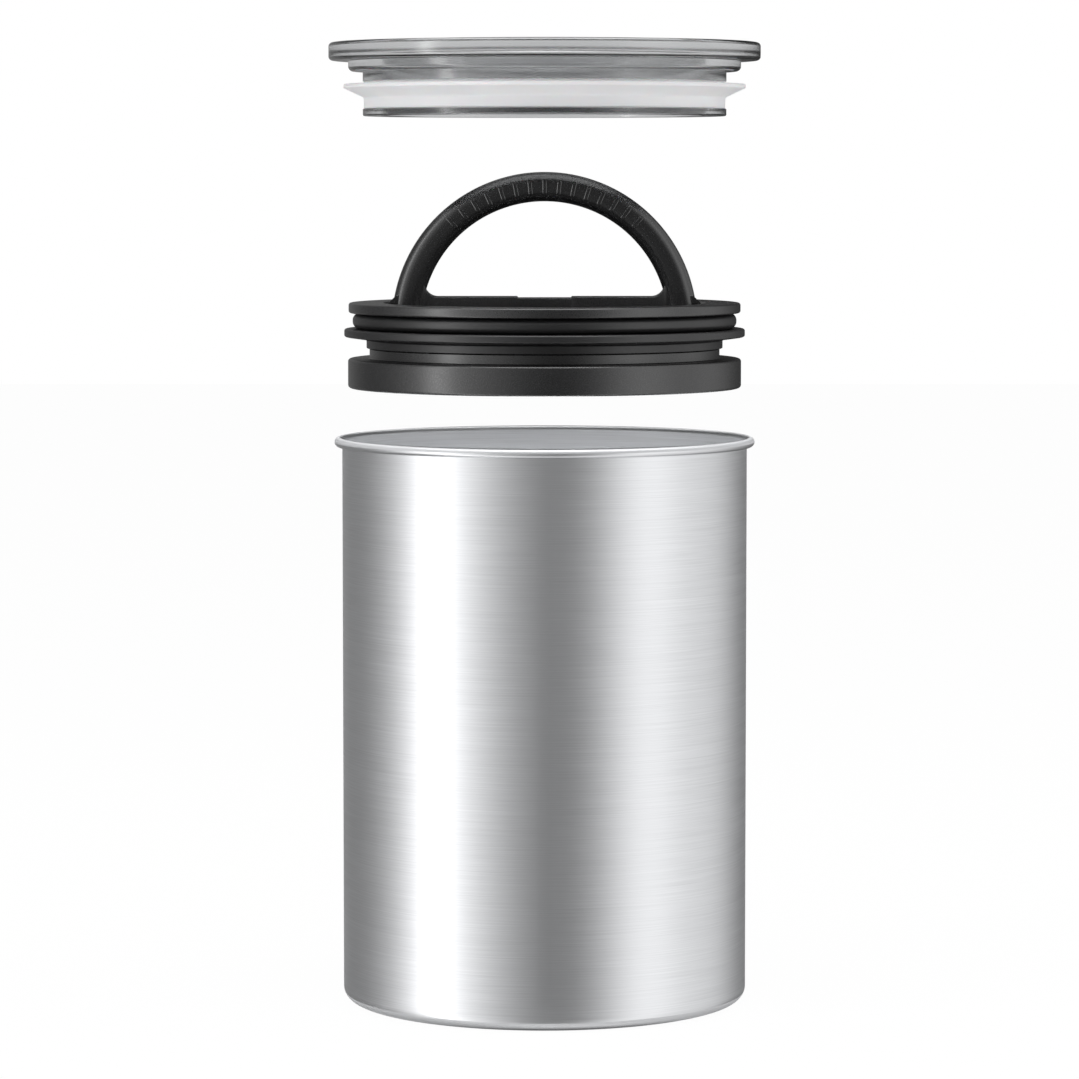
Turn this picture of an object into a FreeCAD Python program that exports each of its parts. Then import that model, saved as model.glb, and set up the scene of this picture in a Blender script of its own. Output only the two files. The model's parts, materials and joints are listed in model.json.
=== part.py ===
import FreeCAD, Part
import math
import os

from FreeCAD import Vector

os.makedirs("parts", exist_ok=True)

# Can: drawn sheet with an outward rolled rim and a rounded foot
can_outer_radius = 60.2
can_height = 168.5
can_sheet = 0.5
can_foot_round = 4.0
can_curl_radius = 1.4
can_curl_end_angle = -115.0
can_standing_width = 6.2
can_panel_rise = 1.6
can_panel_slope = 1.6

# Outer lid: clear cover with a seal in its groove
outer_lid_top = 285.2
outer_flange_overhang = 3.7
outer_flange_thickness = 5.3
outer_flange_round = 1.2
outer_step_clearance = 1.6
outer_step_height = 3.2
outer_step_round = 1.5
outer_plug_clearance = 5.9
outer_plug_height = 2.95
outer_groove_depth = 2.5
outer_groove_height = 8.1
outer_lip_height = 2.1
outer_wall = 5.3
outer_top_plate = 3.2
outer_seal_proud = 2.2
outer_fin_drop = 0.7
outer_fin_tip = 1.2
outer_fin_root = 4.0

# Inner lid: deck with dish, wall, spigot and valve chimney
inner_lid_top = 208.4
deck_flange_clearance = 1.5
deck_flange_thickness = 3.0
deck_flange_round = 0.7
deck_wall_clearance = 8.2
deck_wall = 4.0
deck_wall_height = 10.5
deck_floor = 1.9
spigot_step = 2.5
spigot_wall = 2.5
spigot_length = 3.5
chimney_bore_radius = 10.0
chimney_wall = 2.0
hub_radius = 4.2
hub_height = 2.4
hub_drop = 1.0
hub_arm_count = 3
hub_arm_width = 2.4

# Seals of the inner lid
bead_clearance = 2.7
bead_height = 4.6
bead_round = 2.0
wiper_sleeve = 1.35
wiper_clearance = 0.2
wiper_fin_tip = 2.3
wiper_fin_root = 3.2
wiper_tip_round = 0.5

# Piston ring, bottom plate and the seals between them
piston_clearance = 1.3
piston_neck_proud = 0.5
piston_neck_exposed = 3.0
piston_web = 2.0
piston_height = 8.7
piston_round = 0.9
piston_skirt_wall = 4.9
piston_rebate_wall = 2.4
plate_thickness = 1.8
plate_seal_thickness = 0.8
chimney_seal_thickness = 1.0
chimney_seal_overhang = 0.4
vent_hole_radius = 1.2
vent_ring_radius = 3.2
vent_hole_count = 6
seat_inner_radius = 5.0
seat_wall = 1.2
seat_height = 1.4

# Clamp screws and the posts that take them
screw_count = 4
screw_circle_radius = 32.0
screw_shank_radius = 1.5
screw_length = 9.0
screw_head_radius = 2.8
screw_head_height = 1.7
screw_sink = 0.8
screw_slot_width = 0.8
screw_slot_depth = 0.9
post_radius = 4.0

# Handle with its hinge pins, cross bar and cam
pivot_drop = 5.3
handle_centre_drop = 6.7
handle_clearance = 2.1
handle_band = 8.7
handle_thickness = 8.0
handle_round = 3.4
collar_radius = 5.7
collar_clearance = 1.2
collar_length = 2.3
flare_height = 2.6
flare_thickness = 7.0
flare_sink = 0.8
pin_radius = 1.75
pin_length = 11.2
pin_recess = 0.3
bar_thickness = 6.0
bar_top_rise = 1.9
bar_bottom_drop = 3.0
bar_notch_half_width = 8.0
bar_notch_depth = 0.4
bar_core_radius = 2.0
bar_fillet = 4.0
cam_half_width = 4.0
cam_radius = 3.2
valve_travel = 2.0
rib_count = 15
rib_spread = 84.0
rib_width = 1.1
rib_length = 5.0
rib_height = 0.45

# Valve: button, stem, disc and return spring
button_radius = 5.0
button_thickness = 1.55
button_socket_depth = 0.85
cam_gap = 0.15
stem_radius = 2.0
stem_flange_radius = 6.5
stem_flange_thickness = 1.15
stem_flange_gap = 0.25
nub_radius = 1.8
nub_head_radius = 2.8
nub_head_height = 0.9
disc_radius = 8.0
spring_wire = 0.7
spring_mean_radius = 3.2
spring_turns = 3

# Clearances
fit_clearance = 0.05
press_clearance = 0.02
running_clearance = 0.1
hinge_clearance = 0.08
seat_clearance = 0.05


def flat_outline(corners, place):
    """Close an outline of (u, v, round) corners, each rounded by its own radius."""
    count = len(corners)
    starts = []
    ends = []
    mids = []
    for index in range(count):
        u, v, radius = corners[index]
        here = Vector(u, v, 0)
        before = Vector(corners[index - 1][0], corners[index - 1][1], 0) - here
        after = Vector(corners[(index + 1) % count][0], corners[(index + 1) % count][1], 0) - here
        before.normalize()
        after.normalize()
        if radius <= 0:
            starts.append(here)
            ends.append(here)
            mids.append(None)
            continue
        half = before.getAngle(after) / 2
        reach = radius / math.tan(half)
        inward = before + after
        inward.normalize()
        starts.append(here + before * reach)
        ends.append(here + after * reach)
        mids.append(here + inward * (radius / math.sin(half) - radius))
    edges = []
    for index in range(count):
        if mids[index] is not None:
            arc = Part.Arc(place(starts[index]), place(mids[index]), place(ends[index]))
            edges.append(arc.toShape())
        following = starts[(index + 1) % count]
        if (following - ends[index]).Length > 1e-6:
            edges.append(Part.makeLine(place(ends[index]), place(following)))
    return Part.Face(Part.Wire(edges))


def turned(corners):
    """Turn an outline of (radius, height, round) corners about the upright axis."""
    face = flat_outline(corners, lambda point: Vector(point.x, 0, point.y))
    return face.revolve(Vector(0, 0, 0), Vector(0, 0, 1), 360)


def tube(inner_radius, outer_radius, low, high):
    """Make an upright tube between two heights."""
    return turned([
        (inner_radius, low, 0),
        (outer_radius, low, 0),
        (outer_radius, high, 0),
        (inner_radius, high, 0),
    ])


def rod(radius, low, high, x=0.0, y=0.0):
    """Make an upright round rod between two heights."""
    return Part.makeCylinder(radius, high - low, Vector(x, y, low))


def cross_rod(radius, x_low, x_high, y, z):
    """Make a round rod along X."""
    return Part.makeCylinder(radius, x_high - x_low, Vector(x_low, y, z), Vector(1, 0, 0))


def block(x_low, x_high, y_low, y_high, z_low, z_high):
    """Make a box from its limits."""
    return Part.makeBox(x_high - x_low, y_high - y_low, z_high - z_low, Vector(x_low, y_low, z_low))


def around(count, radius, first_angle=0.0):
    """List evenly spaced points on a circle."""
    angles = [math.radians(first_angle + 360.0 * index / count) for index in range(count)]
    return [(radius * math.cos(angle), radius * math.sin(angle)) for angle in angles]


# Can shell
can_bore_radius = can_outer_radius - can_sheet
curl_centre_radius = can_bore_radius + can_curl_radius
curl_centre_z = can_height - can_curl_radius
curl_inner_radius = can_curl_radius - can_sheet


def on_curl(radius, angle):
    """Find a point on the rolled rim."""
    turn = math.radians(angle)
    return Vector(curl_centre_radius + radius * math.cos(turn), 0, curl_centre_z + radius * math.sin(turn))


can_rim_edges = [
    Part.Arc(on_curl(can_curl_radius, 180), on_curl(can_curl_radius, 90), on_curl(can_curl_radius, 0)).toShape(),
    Part.Arc(
        on_curl(can_curl_radius, 0),
        on_curl(can_curl_radius, can_curl_end_angle / 2),
        on_curl(can_curl_radius, can_curl_end_angle),
    ).toShape(),
    Part.makeLine(on_curl(can_curl_radius, can_curl_end_angle), on_curl(curl_inner_radius, can_curl_end_angle)),
    Part.Arc(
        on_curl(curl_inner_radius, can_curl_end_angle),
        on_curl(curl_inner_radius, can_curl_end_angle / 2),
        on_curl(curl_inner_radius, 0),
    ).toShape(),
    Part.Arc(on_curl(curl_inner_radius, 0), on_curl(curl_inner_radius, 90), on_curl(curl_inner_radius, 180)).toShape(),
    Part.makeLine(on_curl(curl_inner_radius, 180), on_curl(can_curl_radius, 180)),
]
can_rim = Part.Face(Part.Wire(can_rim_edges)).revolve(Vector(0, 0, 0), Vector(0, 0, 1), 360)
standing_outer_radius = can_outer_radius - can_foot_round
standing_inner_radius = standing_outer_radius - can_standing_width
can_wall = turned([
    (0, can_panel_rise, 0),
    (standing_inner_radius - can_panel_slope, can_panel_rise, 0),
    (standing_inner_radius, 0, 0),
    (can_outer_radius, 0, can_foot_round),
    (can_outer_radius, curl_centre_z, 0),
    (can_bore_radius, curl_centre_z, 0),
    (can_bore_radius, can_sheet, can_foot_round - can_sheet),
    (standing_inner_radius + can_sheet / 2, can_sheet, 0),
    (standing_inner_radius - can_panel_slope + can_sheet / 2, can_panel_rise + can_sheet, 0),
    (0, can_panel_rise + can_sheet, 0),
])
canister_shell = can_wall.fuse(can_rim).removeSplitter()

# Outer lid cover
outer_flange_under = outer_lid_top - outer_flange_thickness
outer_flange_radius = can_outer_radius + outer_flange_overhang
outer_step_radius = can_bore_radius - outer_step_clearance
outer_plug_radius = can_bore_radius - outer_plug_clearance
outer_step_under = outer_flange_under - outer_step_height
outer_groove_top = outer_step_under - outer_plug_height
outer_groove_bottom = outer_groove_top - outer_groove_height
outer_groove_radius = outer_plug_radius - outer_groove_depth
outer_lid_bottom = outer_groove_bottom - outer_lip_height
outer_hollow_radius = outer_plug_radius - outer_wall
outer_lid_cover = turned([
    (0, outer_lid_top, 0),
    (outer_flange_radius, outer_lid_top, outer_flange_round),
    (outer_flange_radius, outer_flange_under, outer_flange_round),
    (outer_step_radius, outer_flange_under, 0),
    (outer_step_radius, outer_step_under, outer_step_round),
    (outer_plug_radius, outer_step_under, 0),
    (outer_plug_radius, outer_groove_top, 0),
    (outer_groove_radius, outer_groove_top, 0),
    (outer_groove_radius, outer_groove_bottom, 0),
    (outer_plug_radius, outer_groove_bottom, 0),
    (outer_plug_radius, outer_lid_bottom, 0.5),
    (outer_hollow_radius, outer_lid_bottom, 0.5),
    (outer_hollow_radius, outer_lid_top - outer_top_plate, 1.0),
    (0, outer_lid_top - outer_top_plate, 0),
])

# Outer lid seal
seal_fin_radius = can_bore_radius - wiper_clearance
outer_seal_radius = outer_groove_radius + outer_seal_proud
outer_seal_top = outer_groove_top - fit_clearance
outer_seal_bottom = outer_groove_bottom + fit_clearance
outer_fin_top = outer_seal_top - outer_fin_drop
outer_lid_seal = turned([
    (outer_groove_radius + fit_clearance, outer_seal_bottom, 0),
    (outer_seal_radius, outer_seal_bottom, 0),
    (outer_seal_radius, outer_fin_top - outer_fin_root, 0),
    (seal_fin_radius, outer_fin_top - outer_fin_tip, 0.4),
    (seal_fin_radius, outer_fin_top, 0.4),
    (outer_seal_radius, outer_fin_top, 0),
    (outer_seal_radius, outer_seal_top, 0),
    (outer_groove_radius + fit_clearance, outer_seal_top, 0),
])

# Heights and radii shared by the pieces of the inner lid
pivot_z = inner_lid_top - pivot_drop
deck_flange_radius = can_bore_radius - deck_flange_clearance
deck_flange_under = inner_lid_top - deck_flange_thickness
deck_wall_bottom = deck_flange_under - deck_wall_height
deck_wall_outer_radius = can_bore_radius - deck_wall_clearance
dish_radius = deck_wall_outer_radius - deck_wall
spigot_outer_radius = deck_wall_outer_radius - spigot_step
dish_floor_z = deck_wall_bottom + deck_floor
spigot_bottom = deck_wall_bottom - spigot_length
chimney_radius = chimney_bore_radius + chimney_wall
hub_top = deck_wall_bottom - hub_drop
hub_bottom = hub_top - hub_height
piston_web_top = deck_wall_bottom - piston_neck_exposed
piston_web_bottom = piston_web_top - piston_web
piston_bottom = piston_web_top - piston_height
plate_top = piston_bottom + plate_thickness
plate_seal_top = plate_top + plate_seal_thickness
chimney_bottom = plate_top + chimney_seal_thickness
seat_top = plate_top + seat_height
screw_places = around(screw_count, screw_circle_radius, 45.0)
screw_seat_z = dish_floor_z - screw_sink

# Deck
deck = turned([
    (dish_radius, inner_lid_top, 0.5),
    (deck_flange_radius, inner_lid_top, deck_flange_round),
    (deck_flange_radius, deck_flange_under, deck_flange_round),
    (deck_wall_outer_radius, deck_flange_under, 0),
    (deck_wall_outer_radius, deck_wall_bottom, 0),
    (spigot_outer_radius, deck_wall_bottom, 0),
    (spigot_outer_radius, spigot_bottom, 0.4),
    (spigot_outer_radius - spigot_wall, spigot_bottom, 0.4),
    (spigot_outer_radius - spigot_wall, deck_wall_bottom, 0),
    (chimney_radius, deck_wall_bottom, 0),
    (chimney_radius, chimney_bottom, 0),
    (chimney_bore_radius, chimney_bottom, 0),
    (chimney_bore_radius, dish_floor_z, 0.5),
    (dish_radius, dish_floor_z, 1.0),
])
hub = rod(hub_radius, hub_bottom, hub_top)
for index in range(hub_arm_count):
    arm = block(0, chimney_bore_radius + chimney_wall / 2, -hub_arm_width / 2, hub_arm_width / 2, hub_bottom, hub_top)
    arm.rotate(Vector(0, 0, 0), Vector(0, 0, 1), 90.0 + 360.0 * index / hub_arm_count)
    hub = hub.fuse(arm)
deck = deck.fuse(hub)
deck = deck.cut(rod(stem_radius + running_clearance, hub_bottom - 1, hub_top + 1))
for x, y in screw_places:
    deck = deck.cut(rod(screw_shank_radius + running_clearance, deck_wall_bottom - 1, dish_floor_z + 1, x, y))
    deck = deck.cut(rod(screw_head_radius + running_clearance, screw_seat_z, dish_floor_z + 1, x, y))
pin_outer_end = deck_wall_outer_radius - pin_recess
pin_inner_end = pin_outer_end - pin_length
pin_bore_radius = pin_radius + press_clearance
for side in (-1, 1):
    pin_bore = cross_rod(pin_bore_radius, dish_radius - 2, deck_wall_outer_radius + 1, 0, pivot_z)
    if side < 0:
        pin_bore = pin_bore.mirror(Vector(0, 0, 0), Vector(1, 0, 0))
    deck = deck.cut(pin_bore)
deck = deck.removeSplitter()

# Bead seal under the flange
bead_top = deck_flange_under - seat_clearance
bead_bottom = bead_top - bead_height
bead_radius = can_bore_radius - bead_clearance
seal_bore_radius = deck_wall_outer_radius + fit_clearance
bead_seal = turned([
    (seal_bore_radius, bead_bottom, 0.3),
    (bead_radius, bead_bottom, bead_round),
    (bead_radius, bead_top, bead_round),
    (seal_bore_radius, bead_top, 0.3),
])

# Wiper seal below the bead
wiper_top = bead_bottom - seat_clearance
wiper_bottom = deck_wall_bottom + seat_clearance
wiper_sleeve_radius = seal_bore_radius + wiper_sleeve
wiper_seal = turned([
    (seal_bore_radius, wiper_bottom, 0),
    (wiper_sleeve_radius, wiper_bottom, 0),
    (wiper_sleeve_radius, wiper_top - wiper_fin_root, 0),
    (seal_fin_radius, wiper_top - wiper_fin_tip, wiper_tip_round),
    (seal_fin_radius, wiper_top, wiper_tip_round),
    (seal_bore_radius, wiper_top, 0),
])

# Piston ring round the spigot
piston_bore_radius = spigot_outer_radius + running_clearance
piston_radius = can_bore_radius - piston_clearance
piston_neck_radius = deck_wall_outer_radius + piston_neck_proud
piston_skirt_radius = piston_radius - piston_skirt_wall
piston_rebate_radius = piston_radius - piston_rebate_wall
piston_ring = turned([
    (piston_bore_radius, deck_wall_bottom, 0),
    (piston_neck_radius, deck_wall_bottom, 0.3),
    (piston_neck_radius, piston_web_top, 0),
    (piston_radius, piston_web_top, piston_round),
    (piston_radius, piston_bottom, piston_round),
    (piston_rebate_radius, piston_bottom, 0),
    (piston_rebate_radius, plate_seal_top, 0),
    (piston_skirt_radius, plate_seal_top, 0),
    (piston_skirt_radius, piston_web_bottom, 0),
    (piston_bore_radius, piston_web_bottom, 0),
])

# Seals held between the bottom plate, the piston ring and the chimney
plate_radius = piston_rebate_radius - running_clearance
plate_seal = tube(piston_skirt_radius + running_clearance, plate_radius, plate_top, plate_seal_top)
chimney_seal = tube(chimney_bore_radius - 0.2, chimney_radius + chimney_seal_overhang, plate_top, chimney_bottom)

# Bottom plate with its posts, valve seat and vent holes
screw_bore_radius = screw_shank_radius + press_clearance
screw_tip_z = screw_seat_z - screw_length
bottom_plate = rod(plate_radius, piston_bottom, plate_top)
bottom_plate = bottom_plate.fuse(tube(seat_inner_radius, seat_inner_radius + seat_wall, plate_top, seat_top))
for x, y in screw_places:
    bottom_plate = bottom_plate.fuse(rod(post_radius, plate_top, deck_wall_bottom - seat_clearance, x, y))
for x, y in screw_places:
    bottom_plate = bottom_plate.cut(rod(screw_bore_radius, screw_tip_z - 0.3, deck_wall_bottom, x, y))
for x, y in [(0.0, 0.0)] + around(vent_hole_count, vent_ring_radius):
    bottom_plate = bottom_plate.cut(rod(vent_hole_radius, piston_bottom - 1, plate_top + 1, x, y))
bottom_plate = bottom_plate.removeSplitter()

# Clamp screws
screws = []
for x, y in screw_places:
    screw = rod(screw_shank_radius, screw_tip_z, screw_seat_z + 0.1, x, y)
    head_top = screw_seat_z + screw_head_height
    screw = screw.fuse(rod(screw_head_radius, screw_seat_z, head_top, x, y))
    slot_reach = screw_head_radius * 0.65
    slot_low = head_top - screw_slot_depth
    slot = block(x - slot_reach, x + slot_reach, y - screw_slot_width / 2, y + screw_slot_width / 2, slot_low, head_top + 1)
    cross = block(x - screw_slot_width / 2, x + screw_slot_width / 2, y - slot_reach, y + slot_reach, slot_low, head_top + 1)
    screws.append(screw.cut(slot).cut(cross).removeSplitter())
clamp_screws = Part.makeCompound(screws)

# Hinge pins pressed into the deck wall
right_hinge_pin = cross_rod(pin_radius, pin_inner_end, pin_outer_end, 0, pivot_z)
left_hinge_pin = cross_rod(pin_radius, -pin_outer_end, -pin_inner_end, 0, pivot_z)

# Handle: half ring, feet, cross bar, cam and grip ribs
handle_centre_z = inner_lid_top - handle_centre_drop
handle_outer_radius = dish_radius - handle_clearance
handle_inner_radius = handle_outer_radius - handle_band
half_thickness = handle_thickness / 2
band_face = flat_outline([
    (handle_inner_radius, -half_thickness, handle_round),
    (handle_outer_radius, -half_thickness, handle_round),
    (handle_outer_radius, half_thickness, handle_round),
    (handle_inner_radius, half_thickness, handle_round),
], lambda point: Vector(point.x, point.y, handle_centre_z))
handle = band_face.revolve(Vector(0, 0, handle_centre_z), Vector(0, -1, 0), 180)
collar_face = dish_radius - collar_clearance
collar_inner_face = collar_face - collar_length
for side in (-1, 1):
    foot = cross_rod(half_thickness, handle_inner_radius, collar_face, 0, pivot_z)
    foot = foot.fuse(cross_rod(collar_radius, collar_inner_face, collar_face, 0, pivot_z))
    if side < 0:
        foot = foot.mirror(Vector(0, 0, 0), Vector(1, 0, 0))
    handle = handle.fuse(foot)
flare_low = pivot_z + collar_radius - flare_sink
flare_points = [
    Vector(collar_inner_face - flare_sink, -flare_thickness / 2, flare_low),
    Vector(collar_face, -flare_thickness / 2, flare_low),
    Vector(collar_face, -flare_thickness / 2, flare_low + flare_sink / 2),
    Vector(collar_inner_face, -flare_thickness / 2, flare_low + flare_height),
    Vector(collar_inner_face - flare_sink, -flare_thickness / 2, flare_low + flare_height),
]
for side in (-1, 1):
    flare = Part.Face(Part.makePolygon(flare_points + flare_points[:1])).extrude(Vector(0, flare_thickness, 0))
    if side < 0:
        flare = flare.mirror(Vector(0, 0, 0), Vector(1, 0, 0))
    handle = handle.fuse(flare)
bar_end = handle_inner_radius + handle_band / 2
bar_top = inner_lid_top + bar_top_rise
bar_bottom = pivot_z - bar_bottom_drop
bar = block(-bar_end, bar_end, -bar_thickness / 2, bar_thickness / 2, bar_bottom, bar_top)
notch_top = bar_top - bar_notch_depth
notch_half = bar_notch_half_width
bar = bar.cut(block(-notch_half, notch_half, -bar_thickness, bar_thickness, notch_top, bar_top + 1))
bar = bar.cut(block(-notch_half, notch_half, -bar_thickness, bar_thickness, bar_bottom - 1, pivot_z))
bar = bar.fuse(cross_rod(bar_core_radius, -notch_half - 1, notch_half + 1, 0, pivot_z))
fillet_root = math.sqrt(handle_inner_radius ** 2 - (bar_top - handle_centre_z) ** 2)
fillet_start = fillet_root - bar_fillet
for side in (-1, 1):
    fillet = block(fillet_start, bar_end, -bar_thickness / 2, bar_thickness / 2, bar_top - 1, bar_top + bar_fillet)
    hollow_base = Vector(fillet_start, -bar_thickness, bar_top + bar_fillet)
    fillet = fillet.cut(Part.makeCylinder(bar_fillet, 2 * bar_thickness, hollow_base, Vector(0, 1, 0)))
    if side < 0:
        fillet = fillet.mirror(Vector(0, 0, 0), Vector(1, 0, 0))
    bar = bar.fuse(fillet)
cam_offset = valve_travel / 2
cam = cross_rod(cam_radius, -cam_half_width, cam_half_width, cam_offset, pivot_z + cam_offset)
handle = handle.fuse(bar).fuse(cam)
for index in range(rib_count):
    rib_angle = rib_spread * (index / (rib_count - 1) - 0.5)
    rib_middle = handle_inner_radius + handle_band / 2
    rib_low = handle_centre_z + rib_middle - rib_length / 2
    rib_front = -half_thickness - rib_height
    rib = block(-rib_width / 2, rib_width / 2, rib_front, -half_thickness + 1, rib_low, rib_low + rib_length)
    rib.rotate(Vector(0, 0, handle_centre_z), Vector(0, 1, 0), rib_angle)
    handle = handle.fuse(rib)
for side in (-1, 1):
    bore = cross_rod(pin_radius + hinge_clearance, pin_inner_end - running_clearance, collar_face + 1, 0, pivot_z)
    if side < 0:
        bore = bore.mirror(Vector(0, 0, 0), Vector(1, 0, 0))
    handle = handle.cut(bore)
handle = handle.removeSplitter()

# Valve heights with the handle upright
cam_low = pivot_z + cam_offset - cam_radius
button_top = cam_low - cam_gap
button_bottom = button_top - button_thickness
socket_top = button_bottom + button_socket_depth
stem_flange_top = hub_bottom - stem_flange_gap
stem_flange_bottom = stem_flange_top - stem_flange_thickness
disc_top = stem_flange_bottom - seat_clearance
disc_bottom = seat_top + seat_clearance + valve_travel
nub_head_top = disc_bottom - seat_clearance

# Valve button
valve_button = turned([
    (0, button_bottom, 0),
    (button_radius, button_bottom, 0),
    (button_radius, button_top, 0.5),
    (0, button_top, 0),
])
valve_button = valve_button.cut(rod(stem_radius + press_clearance, button_bottom - 1, socket_top))

# Valve stem with its flange and the nub that holds the disc
valve_stem = rod(stem_radius, stem_flange_bottom, socket_top - press_clearance)
valve_stem = valve_stem.fuse(rod(stem_flange_radius, stem_flange_bottom, stem_flange_top))
valve_stem = valve_stem.fuse(rod(nub_radius, nub_head_top - nub_head_height, stem_flange_bottom))
valve_stem = valve_stem.fuse(rod(nub_head_radius, nub_head_top - nub_head_height, nub_head_top))
valve_stem = valve_stem.removeSplitter()

# Valve disc
valve_disc = tube(nub_radius + fit_clearance, disc_radius, disc_bottom, disc_top)

# Valve spring: quarter turns, each made of two arcs that meet smoothly
spring_low = hub_top + seat_clearance + spring_wire / 2
spring_high = button_bottom - seat_clearance - spring_wire / 2
spring_pitch = (spring_high - spring_low) / spring_turns
quarter_count = 4 * spring_turns


def spring_point(turn):
    """Find a point on the spring's centre line after some turns."""
    angle = 2 * math.pi * turn
    height = spring_low + spring_pitch * turn
    return Vector(spring_mean_radius * math.cos(angle), spring_mean_radius * math.sin(angle), height)


def spring_direction(turn):
    """Find the way the spring's centre line runs after some turns."""
    angle = 2 * math.pi * turn
    around_pace = 2 * math.pi * spring_mean_radius
    way = Vector(-around_pace * math.sin(angle), around_pace * math.cos(angle), spring_pitch)
    way.normalize()
    return way


def biarc(start, start_way, end, end_way):
    """Join two points and directions by two arcs with one tangent where they meet."""
    chord = end - start
    both = start_way + end_way
    square = both.dot(both) - 4
    along = chord.dot(both)
    reach = (along - math.sqrt(along * along - square * chord.dot(chord))) / square
    first = start + start_way * reach
    second = end - end_way * reach
    middle = (first + second) * 0.5
    arcs = []
    for foot, corner, head in ((start, first, middle), (middle, second, end)):
        out = (foot + head) * 0.5 - corner
        half = (head - foot).Length / 2
        height = out.Length
        bulge = half * (math.sqrt(half * half + height * height) - half) / height
        out.normalize()
        arcs.append(Part.Arc(foot, (foot + head) * 0.5 - out * bulge, head).toShape())
    return arcs


spring_edges = []
for quarter in range(quarter_count):
    turn_start = quarter / 4
    turn_end = (quarter + 1) / 4
    spring_edges += biarc(
        spring_point(turn_start),
        spring_direction(turn_start),
        spring_point(turn_end),
        spring_direction(turn_end),
    )
spring_path = Part.Wire(spring_edges)
spring_section = Part.Wire(Part.makeCircle(spring_wire / 2, spring_point(0), spring_direction(0)))
valve_spring = spring_path.makePipeShell([spring_section], True, False)
spring_samples = [spring_point(index / 48) for index in range(48 * spring_turns + 1)]
spring_gap = min(
    (spring_samples[second] - spring_samples[first]).Length - spring_wire
    for first in range(len(spring_samples))
    for second in range(first + 24, len(spring_samples))
)
print("valve_spring least gap to itself: %.2f mm" % spring_gap)

canister_shell.exportStep("parts/canister_shell.step")
outer_lid_cover.exportStep("parts/outer_lid_cover.step")
outer_lid_seal.exportStep("parts/outer_lid_seal.step")
deck.exportStep("parts/deck.step")
bead_seal.exportStep("parts/bead_seal.step")
wiper_seal.exportStep("parts/wiper_seal.step")
piston_ring.exportStep("parts/piston_ring.step")
plate_seal.exportStep("parts/plate_seal.step")
chimney_seal.exportStep("parts/chimney_seal.step")
bottom_plate.exportStep("parts/bottom_plate.step")
clamp_screws.exportStep("parts/clamp_screws.step")
left_hinge_pin.exportStep("parts/left_hinge_pin.step")
right_hinge_pin.exportStep("parts/right_hinge_pin.step")
handle.exportStep("parts/handle.step")
valve_button.exportStep("parts/valve_button.step")
valve_stem.exportStep("parts/valve_stem.step")
valve_disc.exportStep("parts/valve_disc.step")
valve_spring.exportStep("parts/valve_spring.step")

for name, shape in (
    ("canister_shell", canister_shell),
    ("deck", deck),
    ("bottom_plate", bottom_plate),
    ("handle", handle),
    ("valve_stem", valve_stem),
    ("valve_spring", valve_spring),
):
    print("%s: %d solid, volume %.0f mm3, valid %s" % (name, len(shape.Solids), shape.Volume, shape.isValid()))
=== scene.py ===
"""Food canister with a clear outer lid and a press-down inner lid, dressed for a studio picture."""

from __future__ import annotations

import json
import logging
import math
from dataclasses import dataclass
from enum import Enum

import bmesh
import bpy
import numpy as np
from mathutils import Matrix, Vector

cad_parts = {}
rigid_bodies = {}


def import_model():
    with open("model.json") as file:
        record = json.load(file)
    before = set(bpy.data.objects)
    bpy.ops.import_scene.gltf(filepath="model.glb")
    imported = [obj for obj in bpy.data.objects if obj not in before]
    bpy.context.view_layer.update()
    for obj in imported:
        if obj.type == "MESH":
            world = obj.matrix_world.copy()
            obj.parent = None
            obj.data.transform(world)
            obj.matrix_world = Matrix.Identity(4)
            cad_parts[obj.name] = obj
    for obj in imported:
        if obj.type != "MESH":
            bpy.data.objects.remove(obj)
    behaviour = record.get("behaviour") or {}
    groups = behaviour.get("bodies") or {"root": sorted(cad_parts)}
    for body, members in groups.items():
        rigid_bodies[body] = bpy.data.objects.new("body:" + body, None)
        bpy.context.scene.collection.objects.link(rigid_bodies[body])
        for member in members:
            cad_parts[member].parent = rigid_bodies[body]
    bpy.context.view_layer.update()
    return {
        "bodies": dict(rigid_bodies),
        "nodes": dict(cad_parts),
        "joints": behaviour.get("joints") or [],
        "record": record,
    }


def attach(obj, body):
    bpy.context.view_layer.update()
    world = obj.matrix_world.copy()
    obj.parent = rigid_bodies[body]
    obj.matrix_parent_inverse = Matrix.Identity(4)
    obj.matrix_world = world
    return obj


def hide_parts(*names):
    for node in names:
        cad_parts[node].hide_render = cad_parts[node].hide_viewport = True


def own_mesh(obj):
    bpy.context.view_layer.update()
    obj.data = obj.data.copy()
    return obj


LOG = logging.getLogger("canister")
MM = 0.001
IMAGE_PX = 1079
SENSOR_MM = 36.0
WHITE = (1.0, 1.0, 1.0, 1.0)
# Edges bent more than this stay crisp, and points closer than this are one
SHARP_DEG = 32.0
MERGE_M = 1e-7
# A turned piece has this many steps round, and on each rounded corner
ROUND_STEPS = 256
CORNER_STEPS = 6
# The UV of a turned piece runs round a circle of this radius
UV_RADIUS_MM = 60.0
# Most of a noise lies in this part of its range
MID_NOISE = (0.3, 0.7)

# Corners of an outline: (u, v, rounding) in mm, and for a turned piece (radius, height, rounding)
Corners = list[tuple[float, float, float]]


class Body(Enum):
    """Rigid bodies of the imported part."""

    CANISTER = "canister"
    OUTER_LID = "outer_lid"
    INNER_LID = "inner_lid"
    HANDLE = "handle"
    VALVE = "valve"


class Slot(Enum):
    """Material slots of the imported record."""

    STEEL = "brushed_steel"
    SMOKE = "smoke_clear_plastic"
    WHITE_SILICONE = "white_silicone"
    BLACK_PLASTIC = "black_plastic"
    BLACK_RUBBER = "black_rubber"
    GREY_SILICONE = "grey_silicone"
    HARDWARE = "steel_hardware"


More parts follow.
